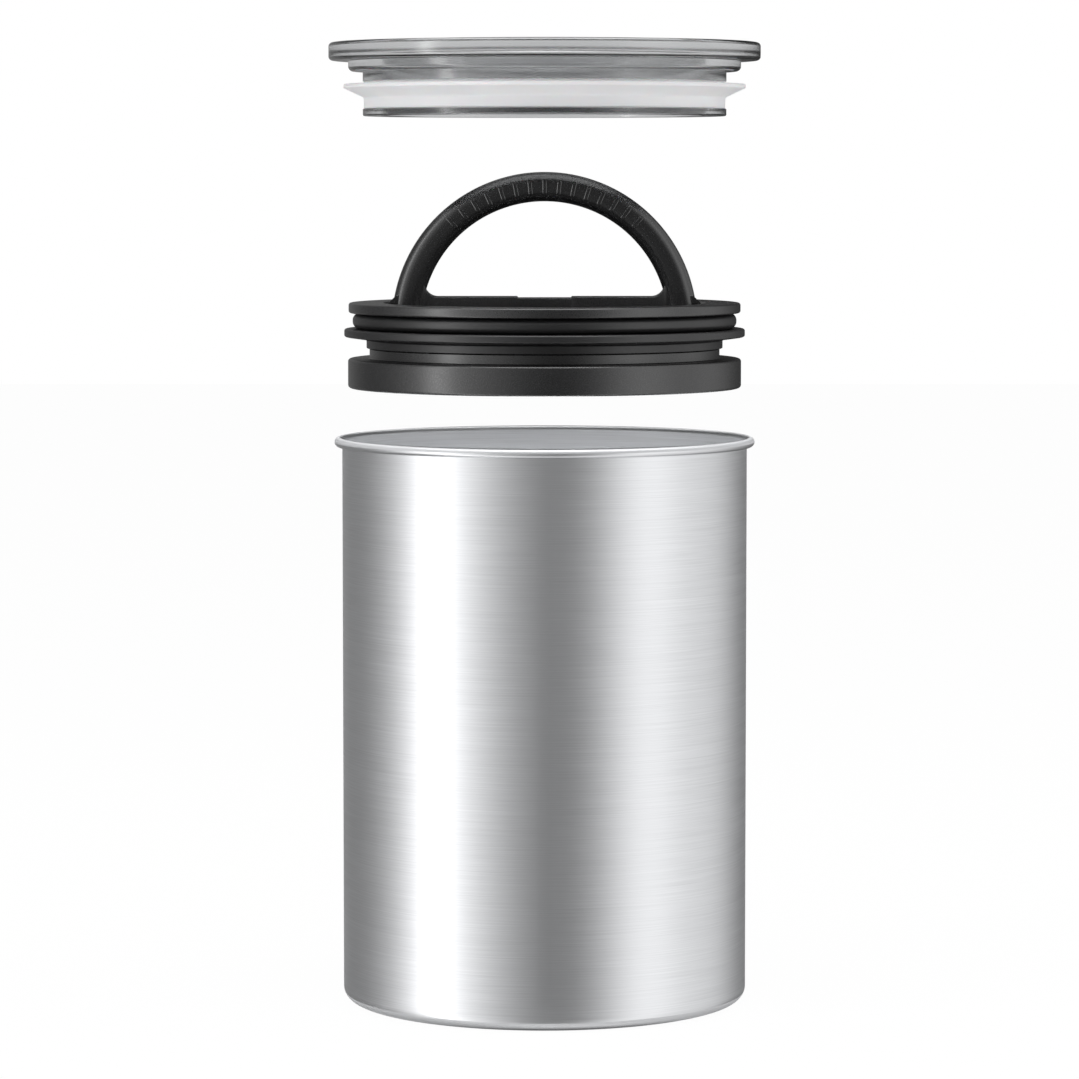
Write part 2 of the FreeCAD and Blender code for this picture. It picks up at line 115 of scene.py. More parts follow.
Finishes = dict[Slot, bpy.types.Material]


def linear(hex_colour: str) -> tuple[float, float, float, float]:
    """Turn an sRGB hex colour into linear light.

    Args:
        hex_colour: six hex digits, with or without a leading hash.

    Returns:
        Red, green, blue and alpha, all linear.
    """
    digits = hex_colour.lstrip("#")
    values = np.array([int(digits[i : i + 2], 16) for i in (0, 2, 4)]) / 255.0
    light = np.where(values <= 0.04045, values / 12.92, ((values + 0.055) / 1.055) ** 2.4)
    return (float(light[0]), float(light[1]), float(light[2]), 1.0)


def add_node(tree: bpy.types.NodeTree, kind: str, given: dict | None = None) -> bpy.types.Node:
    """Add one node with its settings and links.

    Args:
        tree: node tree that gets it.
        kind: Blender's node type name.
        given: attribute, input name or input number, to its value or to the socket that feeds it.

    Returns:
        The new node.
    """
    node = tree.nodes.new(kind)
    for name, value in (given or {}).items():
        if isinstance(value, bpy.types.NodeSocket):
            tree.links.new(value, node.inputs[name])
        elif isinstance(name, str) and hasattr(node, name):
            setattr(node, name, value)
        else:
            node.inputs[name].default_value = value
    return node


def new_material(name: str) -> tuple[bpy.types.Material, bpy.types.NodeTree]:
    """Make a material with an empty node tree.

    Args:
        name: material name.

    Returns:
        The material and its tree.
    """
    material = bpy.data.materials.new(name)
    material.use_nodes = True
    material.node_tree.nodes.clear()
    return material, material.node_tree


def seen_directly(tree: bpy.types.NodeTree) -> bpy.types.NodeSocket:
    """Tell what the camera, mirrors and clear pieces see from what only lights the object.

    Args:
        tree: node tree that asks.

    Returns:
        1 for a camera, transmission or glossy ray, or else 0.
    """
    path = add_node(tree, "ShaderNodeLightPath").outputs
    seen = path["Is Camera Ray"]
    for ray in ("Is Transmission Ray", "Is Glossy Ray"):
        seen = add_node(tree, "ShaderNodeMath", {"operation": "MAXIMUM", 0: seen, 1: path[ray]}).outputs[0]
    return seen


@dataclass(frozen=True)
class BrushedSteel:
    """Stainless sheet brushed round the can: fine level lines and highlights drawn out up and down."""

    name: str = "brushed_stainless_steel"
    colour: str = "#dcdddf"
    roughness: tuple[float, float] = (0.28, 0.33)
    inside_radius_mm: float = 59.95
    crest_height_mm: float = 167.1
    inside_roughness: float = 0.55
    anisotropy: float = 0.75
    # Real brush lines are finer than this. They are drawn as coarse as they need to show
    line_mm: float = 0.24
    streak_mm: float = 30.0
    line_detail: float = 3.0
    line_fineness: float = 0.65
    depth_mm: float = 0.012
    depth_share: float = 0.02
    tone: tuple[float, float] = (0.82, 1.0)
    tone_window: tuple[float, float] = (0.25, 0.75)

    def build(self) -> bpy.types.Material:
        """Build the finish: noise squeezed flat in Z gives level lines that differ in gloss and height.

        Returns:
            The material.
        """
        material, tree = new_material(self.name)
        place = add_node(tree, "ShaderNodeTexCoord").outputs["Object"]
        streak = 1.0 / (self.streak_mm * MM)
        squeeze = add_node(tree, "ShaderNodeMapping", {
            "Vector": place, "Scale": (streak, streak, 1.0 / (self.line_mm * MM))
        })
        lines = add_node(tree, "ShaderNodeTexNoise", {
            "Vector": squeeze.outputs["Vector"],
            "Scale": 1.0,
            "Detail": self.line_detail,
            "Roughness": self.line_fineness,
        }).outputs["Fac"]
        gloss = add_node(tree, "ShaderNodeMapRange", {
            "Value": lines,
            "From Min": MID_NOISE[0],
            "From Max": MID_NOISE[1],
            "To Min": self.roughness[0],
            "To Max": self.roughness[1],
        })
        # The inside and the rim's crest are satin: inside the sheet's middle, or above the crest's height
        flat = add_node(tree, "ShaderNodeVectorMath", {
            "operation": "MULTIPLY", 0: place, 1: (1.0, 1.0, 0.0)
        })
        radius = add_node(tree, "ShaderNodeVectorMath", {"operation": "LENGTH", 0: flat.outputs["Vector"]})
        height = add_node(tree, "ShaderNodeSeparateXYZ", {0: place})
        inside = add_node(tree, "ShaderNodeMath", {
            "operation": "LESS_THAN", 0: radius.outputs["Value"], 1: self.inside_radius_mm * MM
        })
        crest = add_node(tree, "ShaderNodeMath", {
            "operation": "GREATER_THAN", 0: height.outputs["Z"], 1: self.crest_height_mm * MM
        })
        satin = add_node(tree, "ShaderNodeMath", {
            "operation": "MAXIMUM", 0: inside.outputs[0], 1: crest.outputs[0]
        })
        rough = add_node(tree, "ShaderNodeMix", {
            "data_type": "FLOAT", 0: satin.outputs[0], 2: gloss.outputs["Result"], 3: self.inside_roughness
        })
        tone = add_node(tree, "ShaderNodeMapRange", {
            "Value": lines,
            "From Min": self.tone_window[0],
            "From Max": self.tone_window[1],
            "To Min": self.tone[0],
            "To Max": self.tone[1],
        })
        colour = add_node(tree, "ShaderNodeMix", {
            "data_type": "RGBA",
            "blend_type": "MULTIPLY",
            0: 1.0,
            6: linear(self.colour),
            7: tone.outputs["Result"],
        })
        bump = add_node(tree, "ShaderNodeBump", {
            "Height": lines, "Strength": self.depth_share, "Distance": self.depth_mm * MM
        })
        along = add_node(tree, "ShaderNodeTangent", {"direction_type": "UV_MAP", "uv_map": "UVMap"})
        shader = add_node(tree, "ShaderNodeBsdfPrincipled", {
            "Metallic": 1.0,
            "Anisotropic": self.anisotropy,
            "Base Color": colour.outputs[2],
            "Roughness": rough.outputs[0],
            "Normal": bump.outputs["Normal"],
            "Tangent": along.outputs["Tangent"],
        })
        add_node(tree, "ShaderNodeOutputMaterial", {"Surface": shader.outputs["BSDF"]})
        return material


@dataclass(frozen=True)
class SmokePlastic:
    """Clear smoke-grey moulded styrene: see-through, dark at thick edges, with sharp small highlights."""

    name: str = "smoke_clear_moulded_plastic"
    colour: str = "#babbbc"
    roughness: tuple[float, float] = (0.05, 0.09)
    ior: float = 1.5
    ripple_mm: float = 14.0
    depth_mm: float = 0.02
    depth_share: float = 0.1

    def build(self) -> bpy.types.Material:
        """Build the finish: tinted transmission with a faint long moulding ripple.

        Returns:
            The material.
        """
        material, tree = new_material(self.name)
        place = add_node(tree, "ShaderNodeTexCoord").outputs["Object"]
        ripple = add_node(tree, "ShaderNodeTexNoise", {
            "Vector": place, "Scale": 1.0 / (self.ripple_mm * MM)
        }).outputs["Fac"]
        gloss = add_node(tree, "ShaderNodeMapRange", {
            "Value": ripple, "To Min": self.roughness[0], "To Max": self.roughness[1]
        })
        bump = add_node(tree, "ShaderNodeBump", {
            "Height": ripple, "Strength": self.depth_share, "Distance": self.depth_mm * MM
        })
        shader = add_node(tree, "ShaderNodeBsdfPrincipled", {
            "Base Color": linear(self.colour),
            "Transmission Weight": 1.0,
            "IOR": self.ior,
            "Roughness": gloss.outputs["Result"],
            "Normal": bump.outputs["Normal"],
        })
        add_node(tree, "ShaderNodeOutputMaterial", {"Surface": shader.outputs["BSDF"]})
        return material


@dataclass(frozen=True)
class MouldedPolymer:
    """Moulded plastic, rubber or silicone: an even colour with a fine satin skin and faint flow marks."""

    name: str
    colour: str
    mottle: str
    roughness: float
    # Real moulded grain is finer than the sizes given here. It is drawn as coarse as it needs to show
    grain_mm: float
    grain_depth_mm: float
    ior: float = 1.49
    specular: float = 0.5
    subsurface: float = 0.0
    subsurface_mm: float = 1.0
    # Three flow marks in 50 mm
    mottle_mm: float = 50.0 / 3
    mottle_detail: float = 3.0
    gloss_spread: float = 0.05
    depth_share: float = 0.3

    def build(self) -> bpy.types.Material:
        """Build the finish: a broad mottle between two close colours and a fine grain in gloss and height.

        Returns:
            The material.
        """
        material, tree = new_material(self.name)
        place = add_node(tree, "ShaderNodeTexCoord").outputs["Object"]
        broad = add_node(tree, "ShaderNodeTexNoise", {
            "Vector": place, "Scale": 1.0 / (self.mottle_mm * MM), "Detail": self.mottle_detail
        })
        grain = add_node(tree, "ShaderNodeTexNoise", {
            "Vector": place, "Scale": 1.0 / (self.grain_mm * MM)
        }).outputs["Fac"]
        colour = add_node(tree, "ShaderNodeMix", {
            "data_type": "RGBA", 0: broad.outputs["Fac"], 6: linear(self.colour), 7: linear(self.mottle)
        })
        gloss = add_node(tree, "ShaderNodeMapRange", {
            "Value": grain,
            "From Min": MID_NOISE[0],
            "From Max": MID_NOISE[1],
            "To Min": self.roughness - self.gloss_spread,
            "To Max": self.roughness + self.gloss_spread,
        })
        bump = add_node(tree, "ShaderNodeBump", {
            "Height": grain, "Strength": self.depth_share, "Distance": self.grain_depth_mm * MM
        })
        shader = add_node(tree, "ShaderNodeBsdfPrincipled", {
            "IOR": self.ior,
            "Specular IOR Level": self.specular,
            "Subsurface Weight": self.subsurface,
            "Subsurface Scale": self.subsurface_mm * MM,
            "Base Color": colour.outputs[2],
            "Roughness": gloss.outputs["Result"],
            "Normal": bump.outputs["Normal"],
        })
        add_node(tree, "ShaderNodeOutputMaterial", {"Surface": shader.outputs["BSDF"]})
        return material


@dataclass(frozen=True)
class HardwareSteel:
    """Plain bright steel of pins, screws and spring wire: smooth, with faint turning marks."""

    name: str = "bright_steel_hardware"
    colour: str = "#b9b9b8"
    roughness: tuple[float, float] = (0.22, 0.38)
    # Real turning marks are finer than this. They are drawn as coarse as they need to show
    mark_mm: float = 0.25

    def build(self) -> bpy.types.Material:
        """Build the finish: a metal whose gloss varies with a fine noise.

        Returns:
            The material.
        """
        material, tree = new_material(self.name)
        place = add_node(tree, "ShaderNodeTexCoord").outputs["Object"]
        marks = add_node(tree, "ShaderNodeTexNoise", {"Vector": place, "Scale": 1.0 / (self.mark_mm * MM)})
        gloss = add_node(tree, "ShaderNodeMapRange", {
            "Value": marks.outputs["Fac"], "To Min": self.roughness[0], "To Max": self.roughness[1]
        })
        shader = add_node(tree, "ShaderNodeBsdfPrincipled", {
            "Base Color": linear(self.colour), "Metallic": 1.0, "Roughness": gloss.outputs["Result"]
        })
        add_node(tree, "ShaderNodeOutputMaterial", {"Surface": shader.outputs["BSDF"]})
        return material


def make_finishes() -> Finishes:
    """Build every finish once.

    Returns:
        The material of each slot.
    """
    recipes = {
        Slot.STEEL: BrushedSteel(),
        Slot.SMOKE: SmokePlastic(),
        Slot.HARDWARE: HardwareSteel(),
        # Silicone is soft and waxy: matt white that glows a little at thin edges
        Slot.WHITE_SILICONE: MouldedPolymer(
            "white_silicone", "#ececed", "#e5e5e7", 0.5, 0.6, 0.01, ior=1.41, subsurface=0.15
        ),
        Slot.GREY_SILICONE: MouldedPolymer("grey_silicone", "#8a8a88", "#828280", 0.5, 0.6, 0.01, ior=1.41),
        # Moulded ABS with a fine spark-eroded skin: near black with a wide soft sheen
        Slot.BLACK_PLASTIC: MouldedPolymer(
            "satin_black_moulded_abs", "#141415", "#19191a", 0.3, 0.3, 0.003, specular=0.85
        ),
        # Rubber seals: a shade softer than the plastic
        Slot.BLACK_RUBBER: MouldedPolymer(
            "black_moulded_rubber", "#141415", "#1a1a1b", 0.4, 0.4, 0.003, specular=0.6
        ),
    }
    return {slot: recipe.build() for slot, recipe in recipes.items()}


def rounded_outline(corners: Corners, steps: int = CORNER_STEPS) -> np.ndarray:
    """Round each corner of a closed outline.

    A corner of radius c and half angle h starts c/tan(h) before its point and turns on a circle whose
    centre lies c/sin(h) along the bisector.

    Args:
        corners: the corners.
        steps: points on each rounded corner, less one.

    Returns:
        Points of the closed outline, without a repeated last point.
    """
    points = np.array([(u, v) for u, v, _ in corners], float)
    before = np.roll(points, 1, axis=0) - points
    after = np.roll(points, -1, axis=0) - points
    before /= np.linalg.norm(before, axis=1)[:, None]
    after /= np.linalg.norm(after, axis=1)[:, None]
    rows = []
    for point, back, ahead, (_, _, radius) in zip(points, before, after, corners):
        if radius <= 0:
            rows.append(point[None, :])
            continue
        half = math.acos(float(np.clip(back @ ahead, -1, 1))) / 2
        bisector = (back + ahead) / np.linalg.norm(back + ahead)
        centre = point + bisector * radius / math.sin(half)
        start = point + back * radius / math.tan(half) - centre
        end = point + ahead * radius / math.tan(half) - centre
        sweep_angle = math.atan2(start[0] * end[1] - start[1] * end[0], start @ end)
        turn = np.linspace(0, sweep_angle, steps + 1)
        spin = np.stack([
            start[0] * np.cos(turn) - start[1] * np.sin(turn),
            start[0] * np.sin(turn) + start[1] * np.cos(turn),
        ], axis=1)
        rows.append(centre + spin)
    return np.concatenate(rows)


def rounded_box(
    low: tuple[float, float], high: tuple[float, float], rounding: float, steps: int
) -> np.ndarray:
    """Outline a rectangle, from its lowest to its highest (u, v) in mm, with four equal round corners."""
    ends = [low, (high[0], low[1]), high, (low[0], high[1])]
    return rounded_outline([(u, v, rounding) for u, v in ends], steps)


def arc(centre: tuple[float, float], radius: float, turn: np.ndarray) -> np.ndarray:
    """Place a point at each angle t of a circle: centre + radius (cos t, sin t)."""
    return np.array(centre) + radius * np.stack([np.cos(turn), np.sin(turn)], axis=1)


def shade_smooth(mesh: bpy.types.Mesh, sharp_deg: float = SHARP_DEG) -> None:
    """Shade a mesh smooth between its crisp edges.

    Args:
        mesh: the mesh.
        sharp_deg: edges bent more than this stay crisp.
    """
    mesh.polygons.foreach_set("use_smooth", np.ones(len(mesh.polygons), bool))
    mesh.set_sharp_from_angle(angle=math.radians(sharp_deg))
    mesh.update()


def make_piece(
    name: str,
    points_mm: np.ndarray,
    faces: list[list[int]],
    uv: np.ndarray | None = None,
    sharp_deg: float = SHARP_DEG,
) -> bpy.types.Object:
    """Put arrays into a mesh object that sits at the origin.

    Args:
        name: object and mesh name.
        points_mm: vertex places in mm.
        faces: vertex numbers of each face.
        uv: one (u, v) per vertex, in metres, or nothing.
        sharp_deg: edges bent more than this stay crisp.

    Returns:
        The new object.
    """
    mesh = bpy.data.meshes.new(name)
    mesh.from_pydata((points_mm * MM).tolist(), [], faces)
    if uv is not None:
        layer = mesh.uv_layers.new(name="UVMap")
        loops = np.zeros(len(mesh.loops), np.int32)
        mesh.loops.foreach_get("vertex_index", loops)
        layer.data.foreach_set("uv", uv[loops].astype(np.float32).ravel())
    shade_smooth(mesh, sharp_deg)
    piece = bpy.data.objects.new(name, mesh)
    bpy.context.scene.collection.objects.link(piece)
    return piece


def closed_piece(
    name: str, points_mm: np.ndarray, faces: list[list[int]], uv: np.ndarray | None = None
) -> bpy.types.Object:
    """Put arrays into a closed mesh object and turn every face of it outwards.

    Args:
        name: object and mesh name.
        points_mm: vertex places in mm.
        faces: vertex numbers of each face.
        uv: one (u, v) per vertex, in metres, or nothing.

    Returns:
        The new object.
    """
    piece = make_piece(name, points_mm, faces, uv)
    work = bmesh.new()
    work.from_mesh(piece.data)
    bmesh.ops.remove_doubles(work, verts=work.verts, dist=MERGE_M)
    bmesh.ops.recalc_face_normals(work, faces=work.faces)
    work.to_mesh(piece.data)
    work.free()
    shade_smooth(piece.data)
    return piece


def lathe(
    profile: np.ndarray, segments: int = ROUND_STEPS, closed: bool = True
) -> tuple[np.ndarray, list[list[int]], np.ndarray]:
    """Turn a profile of (radius, height) about Z.

    Point (i, j) is (r_i cos t_j, r_i sin t_j, z_i) with t_j = 2 pi j / segments. A point on the axis is one
    shared pole, and a closed profile joins its last ring to its first.

    Args:
        profile: rows of (radius, height), in mm, running with the solid on its left.
        segments: steps round the axis.
        closed: whether the last row joins the first.

    Returns:
        Points, faces and one (u, v) per point.
    """
    rings = len(profile)
    turn = 2 * np.pi * np.arange(segments) / segments
    radius = profile[:, 0][:, None]
    points = np.stack([
        radius * np.cos(turn),
        radius * np.sin(turn),
        np.repeat(profile[:, 1][:, None], segments, axis=1),
    ], axis=2).reshape(-1, 3)
    length = np.cumsum(np.linalg.norm(np.diff(profile, axis=0, prepend=profile[:1]), axis=1))
    uv = np.stack([
        np.repeat((turn * UV_RADIUS_MM)[None, :], rings, axis=0),
        np.repeat(length[:, None], segments, axis=1),
    ], axis=2).reshape(-1, 2) * MM
    pole = profile[:, 0] < 1e-6
    index = np.arange(rings * segments).reshape(rings, segments)
    index[pole] = index[pole][:, :1]
    used, index = np.unique(index, return_inverse=True)
    index = index.reshape(rings, segments)
    low = np.arange(rings if closed else rings - 1)
    high = (low + 1) % rings
    ahead = np.roll(index, -1, axis=1)
    quads = np.stack([index[low], ahead[low], ahead[high], index[high]], axis=2)
    faces = quads[~pole[low] & ~pole[high]].reshape(-1, 4).tolist()
    faces += quads[pole[low] & ~pole[high]][:, :, [0, 2, 3]].reshape(-1, 3).tolist()
    faces += quads[pole[high] & ~pole[low]][:, :, [0, 1, 2]].reshape(-1, 3).tolist()
    return points[used], faces, uv[used]


def sweep(sections: np.ndarray) -> tuple[np.ndarray, list[list[int]]]:
    """Skin a row of closed sections and cap both ends.

    Face (i, k) joins points k and k+1 of sections i and i+1, and each end is one flat face.

    Args:
        sections: array (stations, points, 3), in mm.

    Returns:
        Points and faces.
    """
    stations, count, _ = sections.shape
    index = np.arange(stations * count).reshape(stations, count)
    ahead = np.roll(index, -1, axis=1)
    faces = np.stack([index[:-1], ahead[:-1], ahead[1:], index[1:]], axis=2).reshape(-1, 4).tolist()
    faces.append(index[0][::-1].tolist())
    faces.append(index[-1].tolist())
    return sections.reshape(-1, 3), faces


def cut(piece: bpy.types.Object, cutters: list[bpy.types.Object]) -> None:
    """Cut closed meshes out of a piece and keep the result as its mesh.

    Args:
        piece: the piece that loses material.
        cutters: closed objects, removed afterwards.
    """
    for cutter in cutters:
        step = piece.modifiers.new("cut", "BOOLEAN")
        step.operation = "DIFFERENCE"
        step.solver = "EXACT"
        step.object = cutter
    bpy.context.view_layer.update()
    graph = bpy.context.evaluated_depsgraph_get()
    mesh = bpy.data.meshes.new_from_object(piece.evaluated_get(graph))
    piece.modifiers.clear()
    piece.data = mesh
    shade_smooth(mesh)
    for cutter in cutters:
        bpy.data.objects.remove(cutter)


def dress(piece: bpy.types.Object, material: bpy.types.Material) -> None:
    """Give a piece one material."""
    piece.data.materials.clear()
    piece.data.materials.append(material)


def settle(piece: bpy.types.Object, body: Body, slot: Slot, finishes: Finishes, *nodes: str) -> None:
    """Dress a piece, fix it to its body and hide the CAD nodes that it replaces.

    Args:
        piece: the piece.
        body: body that it moves with.
        slot: record slot that it takes its finish from.
        finishes: the material of each slot.
        nodes: CAD nodes that it replaces.
    """
    dress(piece, finishes[slot])
    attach(piece, body.value)
    if nodes:
        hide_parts(*nodes)
    LOG.info("%s: %d faces on %s", piece.name, len(piece.data.polygons), body.value)


def turned_piece(
    name: str, corners: Corners, segments: int = ROUND_STEPS, steps: int = CORNER_STEPS
) -> bpy.types.Object:
    """Turn a rounded outline of (radius, height, rounding) corners into a closed round piece."""
    return closed_piece(name, *lathe(rounded_outline(corners, steps), segments))


@dataclass
class Can:
    """Drawn steel can with an outward rolled rim, a rounded foot and a raised bottom panel."""

    outer_radius: float = 60.2
    height: float = 168.5
    sheet: float = 0.5
    foot_round: float = 4.0
    curl_radius: float = 1.4
    curl_end_deg: float = -115.0
    standing_width: float = 6.2
    panel_rise: float = 1.6
    segments: int = 320
    sharp_deg: float = 50.0

    def profile(self) -> np.ndarray:
        """Trace the sheet: bottom outside, wall, rolled rim as two arcs, then the inside back to the axis.

        Returns:
            Rows of (radius, height) in mm.
        """
        bore = self.outer_radius - self.sheet
        foot = (self.outer_radius - self.foot_round, self.foot_round)
        curl = (bore + self.curl_radius, self.height - self.curl_radius)
        panel_foot = foot[0] - self.standing_width
        panel_edge = panel_foot - self.panel_rise
        quarter = np.linspace(-np.pi / 2, 0, 13)
        roll = np.linspace(math.radians(self.curl_end_deg), np.pi, 37)
        wall = np.linspace(foot[1], curl[1], 34)[1:-1]
        return np.vstack([
            [(0.0, self.panel_rise), (panel_edge, self.panel_rise), (panel_foot, 0.0)],
            arc(foot, self.foot_round, quarter),
            np.stack([np.full_like(wall, self.outer_radius), wall], axis=1),
            arc(curl, self.curl_radius - self.sheet, roll)[::-1],
            arc(curl, self.curl_radius, roll),
            np.stack([np.full_like(wall, bore), wall], axis=1)[::-1],
            arc(foot, self.foot_round - self.sheet, quarter)[::-1],
            [
                (panel_foot + self.sheet / 2, self.sheet),
                (panel_edge + self.sheet / 2, self.panel_rise + self.sheet),
                (0.0, self.panel_rise + self.sheet),
            ],
        ])

    def build(self, finishes: Finishes) -> None:
        """Build the can and dress it in brushed steel."""
        piece = make_piece("can_shell", *lathe(self.profile(), self.segments, closed=False), self.sharp_deg)
        settle(piece, Body.CANISTER, Slot.STEEL, finishes, "canister_shell")


@dataclass
class OuterLid:
    """Clear press-in lid with a white lip seal in its groove."""

    top: float = 285.2
    flange_radius: float = 63.9
    flange: float = 5.3
    step_radius: float = 58.1
    step: float = 3.2
    plug_radius: float = 53.8
    plug: float = 2.95
    groove_radius: float = 51.3
    groove: float = 8.1
    lip: float = 2.1
    hollow_radius: float = 48.5
    plate: float = 3.2
    seal_radius: float = 53.5
    seal_gap: float = 0.05
    fin_radius: float = 59.5
    fin_drop: float = 0.7
    fin_tip: float = 1.2
    fin_root: float = 4.0
    # Clear plastic shows the facets of fewer steps
    segments: int = 512

    def build(self, finishes: Finishes) -> None:
        """Build the cover and its seal.

        Args:
            finishes: the material of each slot.
        """
        under = self.top - self.flange
        step_under = under - self.step
        groove_top = step_under - self.plug
        groove_low = groove_top - self.groove
        bottom = groove_low - self.lip
        cover = turned_piece("clear_lid", [
            (0, self.top, 0),
            (self.flange_radius, self.top, 1.2),
            (self.flange_radius, under, 1.2),
            (self.step_radius, under, 0.25),
            (self.step_radius, step_under, 1.5),
            (self.plug_radius, step_under, 0.2),
            (self.plug_radius, groove_top, 0.15),
            (self.groove_radius, groove_top, 0),
            (self.groove_radius, groove_low, 0),
            (self.plug_radius, groove_low, 0.15),
            (self.plug_radius, bottom, 0.5),
            (self.hollow_radius, bottom, 0.5),
            (self.hollow_radius, self.top - self.plate, 1.0),
            (0, self.top - self.plate, 0),
        ], self.segments)
        settle(cover, Body.OUTER_LID, Slot.SMOKE, finishes, "outer_lid_cover")
        seal_bore = self.groove_radius + self.seal_gap
        seal_low = groove_low + self.seal_gap
        seal_top = groove_top - self.seal_gap
        fin_top = seal_top - self.fin_drop
        seal = turned_piece("lid_lip_seal", [
            (seal_bore, seal_low, 0.1),
            (self.seal_radius, seal_low, 0.2),
            (self.seal_radius, fin_top - self.fin_root, 0.8),
            (self.fin_radius, fin_top - self.fin_tip, 0.45),
            (self.fin_radius, fin_top, 0.45),
            (self.seal_radius, fin_top, 0.2),
            (self.seal_radius, seal_top, 0.15),
            (seal_bore, seal_top, 0.1),
        ])
        settle(seal, Body.OUTER_LID, Slot.WHITE_SILICONE, finishes, "outer_lid_seal")


@dataclass
class OnInnerLid:
    """Something whose heights count from the top of the inner lid."""

    lid_top: float = 208.4
    pivot: float = -5.3

    def turned(
        self, name: str, corners: Corners, segments: int = ROUND_STEPS, steps: int = CORNER_STEPS
    ) -> bpy.types.Object:
        """Turn a rounded outline about the lid's axis, with heights counted from the lid's top."""
        lifted = [(radius, self.lid_top + height, rounding) for radius, height, rounding in corners]
        return turned_piece(name, lifted, segments, steps)

    def along_x(
        self, profile: np.ndarray, height: float, side: int = 1, y: float = 0.0, segments: int = 72,
        closed: bool = True,
    ) -> tuple[np.ndarray, list[list[int]]]:
        """Turn a profile about a line along X: radius r at (x, y + r cos t, height + r sin t).

        Args:
            profile: rows of (radius, x), in mm.
            height: height of the line from the lid's top, in mm.
            side: -1 to mirror it to the left, or 1.
            y: place of the line in Y, in mm.
            segments: steps round the line.
            closed: whether the last row joins the first.

        Returns:
            Points and faces.
        """
        points, faces, _ = lathe(profile, segments, closed)
        lifted = points[:, 1] + self.lid_top + height
        return np.stack([side * points[:, 2], points[:, 0] + y, lifted], axis=1), faces


